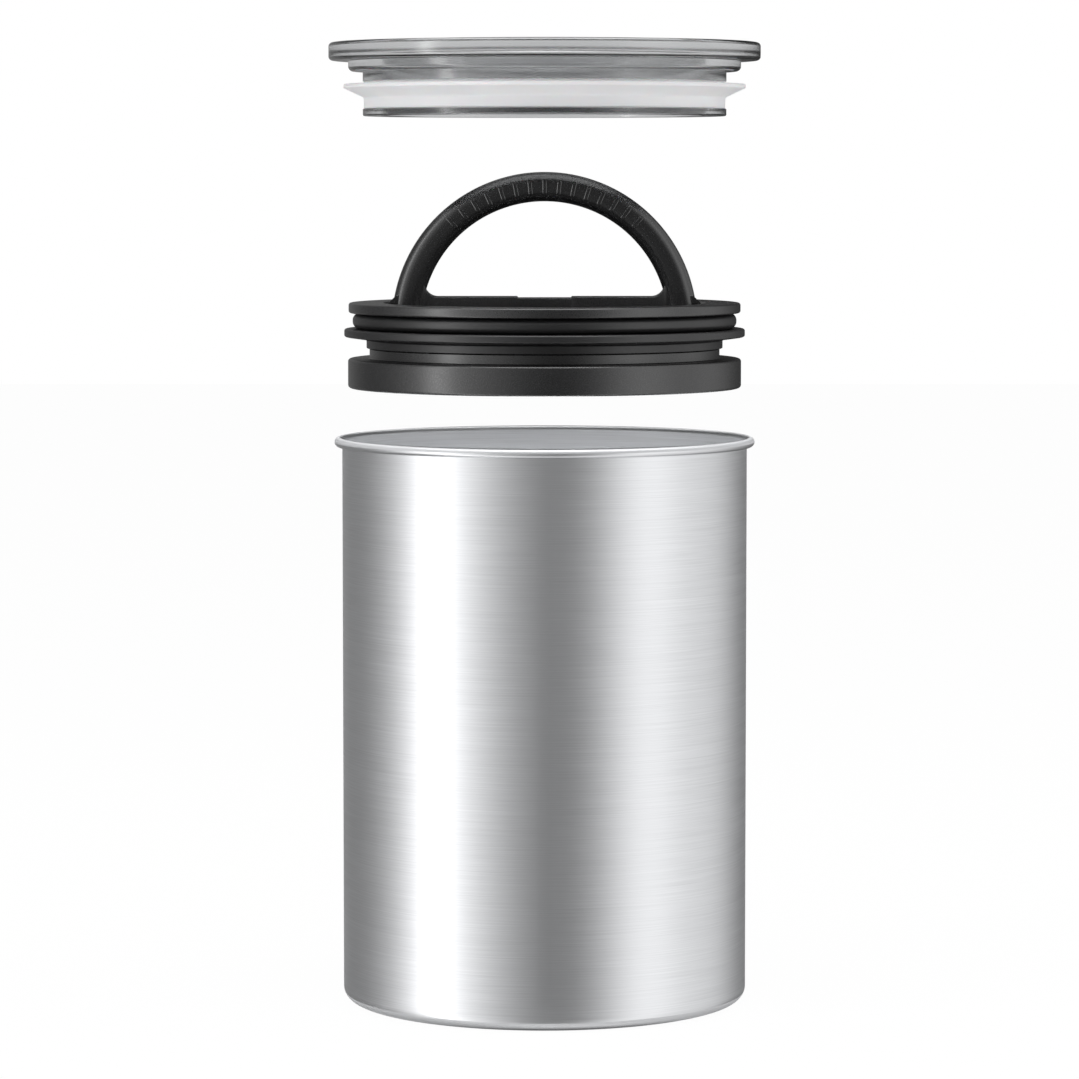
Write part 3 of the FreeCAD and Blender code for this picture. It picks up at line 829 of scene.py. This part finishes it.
@dataclass
class InnerLid(OnInnerLid):
    """Press-down inner lid: deck with its dish, seals, piston ring, bottom plate and fasteners."""

    flange_radius: float = 58.2
    flange: float = 3.0
    wall_radius: float = 51.5
    wall_low: float = -13.5
    dish_radius: float = 47.5
    floor_top: float = -11.6
    spigot_radius: float = 49.0
    spigot_bore: float = 46.5
    spigot_low: float = -17.0
    chimney_bore: float = 10.0
    chimney_radius: float = 12.0
    chimney_low: float = -22.4
    hub_bore: float = 2.1
    hub_radius: float = 4.2
    hub_top: float = -14.5
    hub_low: float = -16.9
    arm_count: int = 3
    arm_half: float = 1.2
    arm_reach: tuple[float, float] = (3.6, 10.6)
    screw_count: int = 4
    screw_circle: float = 32.0
    # Holes for a screw's shank and head: (radius, low, high), both cut past the floor
    shank_hole: tuple[float, float, float] = (1.6, -15.0, -12.4)
    head_hole: tuple[float, float, float] = (2.9, -12.4, -10.0)
    pin_hole: float = 1.77
    pin_reach: tuple[float, float] = (46.0, 53.0)
    sleeve_bore: float = 51.55
    bead_radius: float = 57.0
    bead_low: float = -7.65
    bead_top: float = -3.05
    wiper_radius: float = 52.9
    wiper_low: float = -13.45
    wiper_top: float = -7.7
    fin_radius: float = 59.5
    fin_root: float = -10.9
    fin_low: float = -10.0
    plate_top: float = -23.4
    plate_radius: float = 55.9
    gasket_bore: float = 53.6
    rebate_top: float = -22.6
    chimney_seal_bore: float = 9.8
    chimney_seal_radius: float = 12.4
    piston_radius: float = 58.4
    piston_top: float = -16.5
    piston_low: float = -25.2
    neck_radius: float = 52.0
    neck_bore: float = 49.1
    web_low: float = -18.5
    skirt_bore: float = 53.5
    rebate_radius: float = 56.0

    def screw_seat(self, number: int) -> bpy.types.Object:
        """Turn the stepped hole of one clamp screw.

        Args:
            number: which screw.

        Returns:
            The cutter.
        """
        angle = math.radians(45 + 360 / self.screw_count * number)
        shank, low, step = self.shank_hole
        head, _, high = self.head_hole
        profile = np.array([[0, low], [shank, low], [shank, step], [head, step], [head, high], [0, high]])
        points, faces, _ = lathe(profile + [0, self.lid_top], 40, closed=False)
        shift = self.screw_circle * np.array([math.cos(angle), math.sin(angle), 0.0])
        return closed_piece(f"screw_seat_{number}", points + shift, faces)

    def pin_bore(self, side: int) -> bpy.types.Object:
        """Turn the hole of one hinge pin.

        Args:
            side: -1 for the left pin, 1 for the right.

        Returns:
            The cutter.
        """
        start, end = self.pin_reach
        profile = np.array([[0, start], [self.pin_hole, start], [self.pin_hole, end], [0, end]])
        points, faces = self.along_x(profile, self.pivot, side, segments=40, closed=False)
        return closed_piece(f"pin_bore_{side}", points, faces)

    def deck(self, finishes: Finishes) -> None:
        """Build the deck: a turned body with its cut screw seats and pin bores.

        Args:
            finishes: the material of each slot.
        """
        body = self.turned("lid_deck", [
            (self.dish_radius, 0, 0.6),
            (self.flange_radius, 0, 0.7),
            (self.flange_radius, -self.flange, 0.7),
            (self.wall_radius, -self.flange, 0.1),
            (self.wall_radius, self.wall_low, 0.1),
            (self.spigot_radius, self.wall_low, 0.1),
            (self.spigot_radius, self.spigot_low, 0.4),
            (self.spigot_bore, self.spigot_low, 0.4),
            (self.spigot_bore, self.wall_low, 0.2),
            (self.chimney_radius, self.wall_low, 0.2),
            (self.chimney_radius, self.chimney_low, 0.1),
            (self.chimney_bore, self.chimney_low, 0.1),
            (self.chimney_bore, self.floor_top, 0.5),
            (self.dish_radius, self.floor_top, 1.0),
        ], 224)
        seats = [self.screw_seat(number) for number in range(self.screw_count)]
        cut(body, seats + [self.pin_bore(side) for side in (-1, 1)])
        settle(body, Body.INNER_LID, Slot.BLACK_PLASTIC, finishes, "deck")

    def guide(self, finishes: Finishes) -> None:
        """Build the hub that guides the valve stem, and carry a section along each of its arms.

        Args:
            finishes: the material of each slot.
        """
        hub = self.turned("valve_guide_hub", [
            (self.hub_bore, self.hub_top, 0.2),
            (self.hub_radius, self.hub_top, 0.3),
            (self.hub_radius, self.hub_low, 0.3),
            (self.hub_bore, self.hub_low, 0.2),
        ], 64)
        settle(hub, Body.INNER_LID, Slot.BLACK_PLASTIC, finishes)
        section = rounded_box((-self.arm_half, self.hub_low), (self.arm_half, self.hub_top), 0.3, 3)
        reach = np.array(self.arm_reach)[:, None, None]
        up = np.array([0.0, 0.0, 1.0])
        for number in range(self.arm_count):
            angle = math.radians(90 + 360 / self.arm_count * number)
            along = np.array([math.cos(angle), math.sin(angle), 0.0])
            across = np.array([-math.sin(angle), math.cos(angle), 0.0])
            level = (section[None, :, 1:] + self.lid_top) * up
            rows = reach * along + section[None, :, :1] * across + level
            arm = closed_piece(f"valve_guide_arm_{number}", *sweep(rows))
            settle(arm, Body.INNER_LID, Slot.BLACK_PLASTIC, finishes)

    def seals(self, finishes: Finishes) -> None:
        """Build the bead, the wiper and the two hidden flat seals.

        Args:
            finishes: the material of each slot.
        """
        bead = self.turned("bead_ring", [
            (self.sleeve_bore, self.bead_low, 0.3),
            (self.bead_radius, self.bead_low, 2.1),
            (self.bead_radius, self.bead_top, 2.1),
            (self.sleeve_bore, self.bead_top, 0.3),
        ], steps=12)
        settle(bead, Body.INNER_LID, Slot.BLACK_RUBBER, finishes, "bead_seal")
        wiper = self.turned("wiper_ring", [
            (self.sleeve_bore, self.wiper_low, 0.1),
            (self.wiper_radius, self.wiper_low, 0.3),
            (self.wiper_radius, self.fin_root, 0.6),
            (self.fin_radius, self.fin_low, 0.6),
            (self.fin_radius, self.wiper_top, 0.6),
            (self.sleeve_bore, self.wiper_top, 0.1),
        ])
        settle(wiper, Body.INNER_LID, Slot.BLACK_RUBBER, finishes, "wiper_seal")
        flat = self.turned("plate_gasket", [
            (self.gasket_bore, self.plate_top, 0.1),
            (self.plate_radius, self.plate_top, 0.1),
            (self.plate_radius, self.rebate_top, 0.1),
            (self.gasket_bore, self.rebate_top, 0.1),
        ])
        settle(flat, Body.INNER_LID, Slot.BLACK_RUBBER, finishes, "plate_seal")
        small = self.turned("chimney_gasket", [
            (self.chimney_seal_bore, self.plate_top, 0.15),
            (self.chimney_seal_radius, self.plate_top, 0.15),
            (self.chimney_seal_radius, self.chimney_low, 0.15),
            (self.chimney_seal_bore, self.chimney_low, 0.15),
        ], 96)
        settle(small, Body.INNER_LID, Slot.BLACK_RUBBER, finishes, "chimney_seal")

    def piston(self, finishes: Finishes) -> None:
        """Build the piston ring with its neck and the rebate that takes the bottom plate.

        Args:
            finishes: the material of each slot.
        """
        ring = self.turned("piston_ring_body", [
            (self.neck_bore, self.wall_low, 0.1),
            (self.neck_radius, self.wall_low, 0.3),
            (self.neck_radius, self.piston_top, 0.4),
            (self.piston_radius, self.piston_top, 0.9),
            (self.piston_radius, self.piston_low, 0.9),
            (self.rebate_radius, self.piston_low, 0.2),
            (self.rebate_radius, self.rebate_top, 0.1),
            (self.skirt_bore, self.rebate_top, 0.1),
            (self.skirt_bore, self.web_low, 0.4),
            (self.neck_bore, self.web_low, 0.2),
        ])
        settle(ring, Body.INNER_LID, Slot.BLACK_PLASTIC, finishes, "piston_ring")

    def build(self, frame: dict, finishes: Finishes) -> None:
        """Build every piece of the inner lid, and dress the CAD nodes whose shape is kept.

        Args:
            finishes: the material of each slot.
        """
        self.deck(finishes)
        self.guide(finishes)
        self.seals(finishes)
        self.piston(finishes)
        dress(frame["nodes"]["bottom_plate"], finishes[Slot.BLACK_PLASTIC])
        for name in ("clamp_screws", "left_hinge_pin", "right_hinge_pin"):
            dress(frame["nodes"][name], finishes[Slot.HARDWARE])


@dataclass
class Handle(OnInnerLid):
    """Half-ring handle with round feet, a cross bar, the valve cam and grip ribs on its front."""

    centre: float = -6.7
    outer_radius: float = 45.4
    band: float = 8.7
    thickness: float = 8.0
    rounding: float = 3.4
    pin_hole: float = 1.83
    foot_inner: float = 39.9
    foot_radius: float = 4.0
    foot_sink: float = 0.2
    collar_radius: float = 5.7
    collar_face: float = 46.3
    collar_back: float = 44.0
    collar_root: float = 43.4
    flare_inner: float = 43.2
    flare_height: float = 2.6
    flare_sink: float = 0.8
    flare_lip: float = 0.4
    flare_half: float = 3.5
    flare_edge: float = 0.2
    flare_inset: float = 0.15
    bar_half: float = 3.0
    bar_top: float = 1.9
    bar_drop: float = 3.0
    bar_sink: float = 1.5
    bar_rounding: float = 0.6
    notch_top: float = 1.5
    notch_half: float = 8.0
    notch_edge: float = 0.15
    fillet: float = 4.0
    fillet_overrun: float = 0.6
    core_radius: float = 2.0
    cam_radius: float = 3.2
    cam_half: float = 4.0
    cam_offset: float = 1.0
    rib_count: int = 15
    rib_spread_deg: float = 84.0
    rib_half: float = 2.4
    rib_width: float = 0.6
    rib_height: float = 0.34
    rib_sink: float = 0.8

    def ring(self) -> bpy.types.Object:
        """Carry a rounded section round a half circle: point is centre + r (cos t, sin t) at depth y.

        Returns:
            The half ring.
        """
        half = self.thickness / 2
        inner = self.outer_radius - self.band
        section = rounded_box((inner, -half), (self.outer_radius, half), self.rounding, 8)
        turn = np.linspace(0, np.pi, 121)[:, None]
        rows = np.stack([
            section[None, :, 0] * np.cos(turn),
            np.repeat(section[None, :, 1], len(turn), axis=0),
            section[None, :, 0] * np.sin(turn) + self.lid_top + self.centre,
        ], axis=2)
        return closed_piece("handle_ring", *sweep(rows))

    def foot(self, side: int, name: str) -> bpy.types.Object:
        """Turn a foot about the hinge line, bored for its pin.

        Args:
            side: -1 for the left foot, 1 for the right.
            name: piece name.

        Returns:
            The foot.
        """
        root = self.outer_radius - self.band + self.foot_sink
        profile = rounded_outline([
            (self.pin_hole, self.foot_inner, 0),
            (self.pin_hole, self.collar_face, 0.2),
            (self.collar_radius, self.collar_face, 0.5),
            (self.collar_radius, self.collar_back, 0.5),
            (self.foot_radius, self.collar_root, 0.4),
            (self.foot_radius, root, 1.0),
            (0.0, root, 0),
            (0.0, self.foot_inner, 0),
        ])
        return closed_piece(name, *self.along_x(profile, self.pivot, side))

    def flare(self, side: int, name: str) -> bpy.types.Object:
        """Carry a five-sided outline across the foot: the outer side slopes out to the collar's face.

        Args:
            side: -1 for the left foot, 1 for the right.
            name: piece name.

        Returns:
            The flare.
        """
        low = self.pivot + self.collar_radius - self.flare_sink
        high = low + self.flare_height
        outline = rounded_outline([
            (self.flare_inner, low, 0),
            (self.collar_face, low, 0),
            (self.collar_face, low + self.flare_lip, 0.15),
            (self.collar_back, high, 0.3),
            (self.flare_inner, high, 0),
        ], 4)
        inner_half = self.flare_half - self.flare_edge
        depth = np.array([-self.flare_half, -inner_half, inner_half, self.flare_half])
        share = 1 - self.flare_inset * np.array([1.0, 0.0, 0.0, 1.0])
        middle = outline.mean(axis=0)
        scaled = middle + (outline - middle)[None, :, :] * share[:, None, None]
        rows = np.stack([
            side * scaled[:, :, 0],
            np.repeat(depth[:, None], len(outline), axis=1),
            scaled[:, :, 1] + self.lid_top,
        ], axis=2)
        return closed_piece(name, *sweep(rows))

    def bar(self) -> bpy.types.Object:
        """Carry a rounded section along X whose top dips in the notch and rises in a fillet at each foot.

        The fillet's top is bar top + f - sqrt(f^2 - s^2), with s the distance past the fillet's start. The
        section is a box of unit height whose upper and lower halves are moved to the top and the underside.

        Returns:
            The cross bar.
        """
        inner = self.outer_radius - self.band
        inner_x = math.sqrt(inner**2 - (self.bar_top - self.centre) ** 2)
        start = inner_x - self.fillet
        right = np.concatenate([
            [self.notch_half - self.notch_edge, self.notch_half + self.notch_edge],
            np.linspace(self.notch_half + 1.5, start, 6)[:-1],
            np.linspace(start, inner_x + self.fillet_overrun, 14),
            [inner + self.bar_sink],
        ])
        x = np.concatenate([-right[::-1], right])
        past = np.clip(np.abs(x) - start, 0, self.fillet)
        rise = self.fillet - np.sqrt(np.maximum(self.fillet**2 - past**2, 0))
        notch = np.abs(x) < self.notch_half
        top = np.where(notch, self.notch_top, self.bar_top + rise)[:, None]
        low = np.where(notch, self.pivot, self.pivot - self.bar_drop)[:, None]
        unit = 10.0
        section = rounded_box((-self.bar_half, 0), (self.bar_half, unit), self.bar_rounding, 4)
        level = section[None, :, 1]
        rows = np.stack([
            np.repeat(x[:, None], len(section), axis=1),
            np.repeat(section[None, :, 0], len(x), axis=0),
            np.where(level > unit / 2, top + level - unit, low + level) + self.lid_top,
        ], axis=2)
        return closed_piece("handle_cross_bar", *sweep(rows))

    def round_bar(self, name: str, radius: float, half: float, offset: float) -> bpy.types.Object:
        """Turn a round with softened ends, its axis the offset behind and above the hinge line, in mm."""
        profile = rounded_outline([(0, -half, 0), (radius, -half, 0.3), (radius, half, 0.3), (0, half, 0)])
        return closed_piece(name, *self.along_x(profile, self.pivot + offset, y=offset))

    def ribs(self) -> bpy.types.Object:
        """Raise even radial ribs on the front, each as high above the rounded skin all along.

        At distance v from the ring's middle line the skin has fallen back by r - sqrt(r^2 - s^2), with s
        the part of v past the flat of the section. A six-sided section is carried along v and narrows at
        both ends.

        Returns:
            All ribs as one piece.
        """
        along = np.linspace(-self.rib_half, self.rib_half, 13)
        past = np.clip(np.abs(along) - (self.band / 2 - self.rounding), 0, None)
        skin = self.rounding - np.sqrt(self.rounding**2 - past**2) - self.thickness / 2
        end = np.clip((np.abs(along) - self.rib_half) / self.rib_width + 1, 0, 1)
        width = self.rib_width * np.sqrt(1 - 0.96 * end**2)
        across = width[:, None] * np.array([-1.0, -1.0, -0.7, 0.7, 1.0, 1.0])
        rise = np.array([-self.rib_sink, 0.65 * self.rib_height, self.rib_height])
        depth = skin[:, None] - rise[[0, 1, 2, 2, 1, 0]]
        reach = along[:, None] + self.outer_radius - self.band / 2
        all_points: list[np.ndarray] = []
        all_faces: list[list[int]] = []
        for angle in np.radians(np.linspace(-0.5, 0.5, self.rib_count) * self.rib_spread_deg):
            points, faces = sweep(np.stack([
                across * math.cos(angle) + reach * math.sin(angle),
                depth,
                reach * math.cos(angle) - across * math.sin(angle) + self.lid_top + self.centre,
            ], axis=2))
            shift = len(points) * len(all_points)
            all_faces += [[corner + shift for corner in face] for face in faces]
            all_points.append(points)
        return closed_piece("handle_grip_ribs", np.concatenate(all_points), all_faces)

    def build(self, finishes: Finishes) -> None:
        """Build the handle's pieces and dress them.

        Args:
            finishes: the material of each slot.
        """
        settle(self.ring(), Body.HANDLE, Slot.BLACK_PLASTIC, finishes, "handle")
        for piece in (
            self.foot(-1, "handle_foot_left"),
            self.foot(1, "handle_foot_right"),
            self.flare(-1, "handle_flare_left"),
            self.flare(1, "handle_flare_right"),
            self.bar(),
            self.round_bar("handle_bar_core", self.core_radius, self.notch_half + 1, 0.0),
            self.round_bar("valve_cam", self.cam_radius, self.cam_half, self.cam_offset),
            self.ribs(),
        ):
            settle(piece, Body.HANDLE, Slot.BLACK_PLASTIC, finishes)


@dataclass
class Valve(OnInnerLid):
    """Air valve under the cam: button, stem with its disc, and the return spring."""

    button_radius: float = 5.0
    button_low: float = -9.2
    button_top: float = -7.65
    stem_radius: float = 2.0
    stem_top: float = -9.25
    stem_flange_radius: float = 6.5
    stem_flange_low: float = -18.3
    stem_flange_top: float = -17.15
    nub_radius: float = 1.8
    nub_head_radius: float = 2.8
    nub_head_top: float = -20.0
    nub_low: float = -20.9
    disc_bore: float = 1.85
    disc_radius: float = 8.0
    disc_low: float = -19.95
    disc_top: float = -18.35
    spring_low: float = -14.1
    spring_high: float = -9.6
    spring_anchor: float = -14.45
    wire: float = 0.7
    mean_radius: float = 3.2
    turns: int = 3
    segments: int = 96

    def spring(self) -> bpy.types.Object:
        """Carry a circle along a helix: the line is (R cos t, R sin t, low + pitch t / 2 pi).

        Returns:
            The spring.
        """
        turn = np.linspace(0, 2 * np.pi * self.turns, 48 * self.turns + 1)
        pace = (self.spring_high - self.spring_low) / (2 * np.pi * self.turns)
        out = np.stack([np.cos(turn), np.sin(turn), np.zeros_like(turn)], axis=1)
        side = np.stack([-np.sin(turn), np.cos(turn), np.zeros_like(turn)], axis=1)
        axis = np.array([0.0, 0.0, 1.0])
        line = self.mean_radius * out + (self.lid_top + self.spring_low + pace * turn)[:, None] * axis
        way = self.mean_radius * side + pace * axis
        way /= np.linalg.norm(way, axis=1)[:, None]
        up = np.cross(way, out)
        around = np.linspace(0, 2 * np.pi, 13)[:-1][None, :, None]
        ring = np.cos(around) * out[:, None, :] + np.sin(around) * up[:, None, :]
        return closed_piece("valve_return_spring", *sweep(line[:, None, :] + ring * self.wire / 2))

    def build(self, finishes: Finishes) -> None:
        """Build the valve's pieces and its return spring.

        Args:
            finishes: the material of each slot.
        """
        button = self.turned("valve_push_button", [
            (0, self.button_low, 0),
            (self.button_radius, self.button_low, 0.2),
            (self.button_radius, self.button_top, 0.5),
            (0, self.button_top, 0),
        ], self.segments)
        settle(button, Body.VALVE, Slot.BLACK_PLASTIC, finishes, "valve_button")
        stem = self.turned("valve_stem_body", [
            (0, self.nub_low, 0),
            (self.nub_head_radius, self.nub_low, 0.4),
            (self.nub_head_radius, self.nub_head_top, 0.1),
            (self.nub_radius, self.nub_head_top, 0.1),
            (self.nub_radius, self.stem_flange_low, 0.1),
            (self.stem_flange_radius, self.stem_flange_low, 0.2),
            (self.stem_flange_radius, self.stem_flange_top, 0.2),
            (self.stem_radius, self.stem_flange_top, 0.2),
            (self.stem_radius, self.stem_top, 0),
            (0, self.stem_top, 0),
        ], self.segments)
        settle(stem, Body.VALVE, Slot.BLACK_PLASTIC, finishes, "valve_stem")
        disc = self.turned("valve_seal_disc", [
            (self.disc_bore, self.disc_low, 0.1),
            (self.disc_radius, self.disc_low, 0.4),
            (self.disc_radius, self.disc_top, 0.4),
            (self.disc_bore, self.disc_top, 0.1),
        ], self.segments)
        settle(disc, Body.VALVE, Slot.GREY_SILICONE, finishes, "valve_disc")
        spring = self.spring()
        settle(spring, Body.INNER_LID, Slot.HARDWARE, finishes, "valve_spring")
        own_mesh(spring)


def hang_lamp(data: bpy.types.Light, place: tuple[float, float, float]) -> bpy.types.Object:
    """Put a lamp in the scene that the camera doesn't see.

    Args:
        data: the lamp's light.
        place: where it hangs, in m.

    Returns:
        The lamp.
    """
    lamp = bpy.data.objects.new(data.name, data)
    lamp.location = place
    lamp.visible_camera = False
    bpy.context.scene.collection.objects.link(lamp)
    return lamp


@dataclass(frozen=True)
class Softbox:
    """Soft area lamp that faces the middle of the object. Sizes are in m and power in W."""

    name: str
    place: tuple[float, float, float]
    size: tuple[float, float]
    power: float
    mirrored: bool = False
    aim: tuple[float, float, float] = (0.0, 0.0, 0.14)

    def hang(self) -> None:
        """Hang the lamp, seen in mirrors only where it says so."""
        data = bpy.data.lights.new(self.name, "AREA")
        data.shape = "RECTANGLE"
        data.size, data.size_y = self.size
        data.energy = self.power
        lamp = hang_lamp(data, self.place)
        lamp.visible_glossy = self.mirrored
        lamp.rotation_euler = (Vector(self.aim) - Vector(self.place)).to_track_quat("-Z", "Y").to_euler()


@dataclass
class Studio:
    """Pale floor, white surround, a graded reflector ring, soft lamps and the camera."""

    focal_px: float = 4707.3
    pitch_deg: float = 4.531
    camera_mm: tuple[float, float, float] = (-1.5, -1400.0, 248.7)
    clip_m: tuple[float, float] = (0.01, 50.0)
    floor_half: float = 4000.0
    floor_level: float = -0.2
    floor_colour: str = "#f2f2f2"
    floor_white: float = 0.97
    surround: tuple[float, float] = (0.45, 1.0)
    ring_radius: float = 1600.0
    ring_low: float = -5000.0
    ring_high: float = 1700.0
    ring_floor: float = 0.06
    # Soft reflectors on the ring: angle right of the camera and width in degrees, and strength
    bands: tuple[tuple[float, float, float], ...] = (
        (-155.0, 35.0, 0.22), (-56.0, 37.0, 1.2), (-64.0, 5.5, 4.0), (57.0, 24.0, 1.6), (104.0, 26.0, 0.9)
    )
    softboxes: tuple[Softbox, ...] = (
        Softbox("softbox_left", (-1.16, -0.64, 0.14), (0.4, 3.2), 11.5),
        Softbox("softbox_right", (1.3, -0.2, 0.14), (1.15, 3.2), 11.0),
        Softbox("softbox_top", (0.0, -0.3, 1.4), (1.2, 1.2), 14.0, mirrored=True),
    )
    fill_place: tuple[float, float, float] = (0.0, 0.0, 0.11)
    fill_radius: float = 0.025
    fill_power: float = 0.16

    def camera(self) -> None:
        """Place the camera at the picture's viewing angle."""
        data = bpy.data.cameras.new("studio_camera")
        data.sensor_width = SENSOR_MM
        data.lens = self.focal_px / IMAGE_PX * SENSOR_MM
        data.clip_start, data.clip_end = self.clip_m
        camera = bpy.data.objects.new("studio_camera", data)
        camera.location = Vector(self.camera_mm) * MM
        camera.rotation_euler = (math.radians(90.0 - self.pitch_deg), 0.0, 0.0)
        bpy.context.scene.collection.objects.link(camera)
        bpy.context.scene.camera = camera

    def floor(self) -> None:
        """Lay a wide pale floor that the camera sees as nearly the white of the surround."""
        half, level = self.floor_half, self.floor_level
        corners = ((-half, -half), (half, -half), (half, half), (-half, half))
        points = np.array([(x, y, level) for x, y in corners])
        floor = make_piece("studio_floor", points, [[0, 1, 2, 3]])
        material, tree = new_material("pale_studio_floor")
        matt = add_node(tree, "ShaderNodeBsdfDiffuse", {"Color": linear(self.floor_colour)})
        white = add_node(tree, "ShaderNodeEmission", {"Color": WHITE, "Strength": 1.0})
        share = add_node(tree, "ShaderNodeMath", {
            "operation": "MULTIPLY", 0: seen_directly(tree), 1: self.floor_white
        })
        mix = add_node(tree, "ShaderNodeMixShader", {
            0: share.outputs[0], 1: matt.outputs["BSDF"], 2: white.outputs["Emission"]
        })
        add_node(tree, "ShaderNodeOutputMaterial", {"Surface": mix.outputs["Shader"]})
        dress(floor, material)
        floor.visible_glossy = False

    def world(self) -> None:
        """Surround the object with even white, which lights it more weakly than it is seen."""
        world = bpy.data.worlds.new("white_surround")
        world.use_nodes = True
        tree = world.node_tree
        tree.nodes.clear()
        strength = add_node(tree, "ShaderNodeMapRange", {
            "Value": seen_directly(tree), "To Min": self.surround[0], "To Max": self.surround[1]
        })
        back = add_node(tree, "ShaderNodeBackground", {
            "Color": WHITE, "Strength": strength.outputs["Result"]
        })
        add_node(tree, "ShaderNodeOutputWorld", {"Surface": back.outputs["Background"]})
        bpy.context.scene.world = world

    def reflector(self) -> None:
        """Stand a graded ring round the object, seen in mirrors only: an open cylinder about Z.

        Its glow at angle a is the floor value plus the sum of s exp(-((a - c) / w)^2) over the bands.
        """
        angle = np.linspace(-180.0, 180.0, 181)
        turn = np.radians(angle)
        ring = np.stack([np.sin(turn), -np.cos(turn)], axis=1) * self.ring_radius
        points = np.vstack([np.insert(ring, 2, level, axis=1) for level in (self.ring_low, self.ring_high)])
        index = np.arange(len(ring) - 1)
        faces = np.stack([index, index + 1, index + len(ring) + 1, index + len(ring)], axis=1)
        piece = make_piece("reflector_ring", points, faces.tolist())
        middle, width, strength = np.array(self.bands).T[:, :, None]
        shine = self.ring_floor + (strength * np.exp(-(((angle - middle) / width) ** 2))).sum(axis=0)
        glow = piece.data.attributes.new("glow", "FLOAT", "POINT")
        glow.data.foreach_set("value", np.tile(shine, 2).astype(np.float32))
        piece.visible_camera = False
        piece.visible_diffuse = False
        piece.visible_shadow = False
        piece.visible_transmission = False
        material, tree = new_material("graded_reflector")
        grade = add_node(tree, "ShaderNodeAttribute", {"attribute_name": "glow"})
        light = add_node(tree, "ShaderNodeEmission", {"Strength": grade.outputs["Fac"]})
        add_node(tree, "ShaderNodeOutputMaterial", {"Surface": light.outputs["Emission"]})
        dress(piece, material)

    def inside_fill(self) -> None:
        """Hang a small round lamp in the can, so that its inside isn't dark under the lids."""
        data = bpy.data.lights.new("inside_fill", "POINT")
        data.shadow_soft_size = self.fill_radius
        data.energy = self.fill_power
        hang_lamp(data, self.fill_place)

    def build(self) -> None:
        """Set up the whole studio."""
        bpy.context.scene.view_settings.view_transform = "Standard"
        self.camera()
        self.floor()
        self.world()
        self.reflector()
        for softbox in self.softboxes:
            softbox.hang()
        self.inside_fill()


def main() -> None:
    """Build the canister and its studio."""
    logging.basicConfig(level=logging.INFO, format="%(name)s %(message)s")
    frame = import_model()
    finishes = make_finishes()
    Can().build(finishes)
    OuterLid().build(finishes)
    InnerLid().build(frame, finishes)
    Handle().build(finishes)
    Valve().build(finishes)
    Studio().build()


if __name__ == "__main__":
    main()
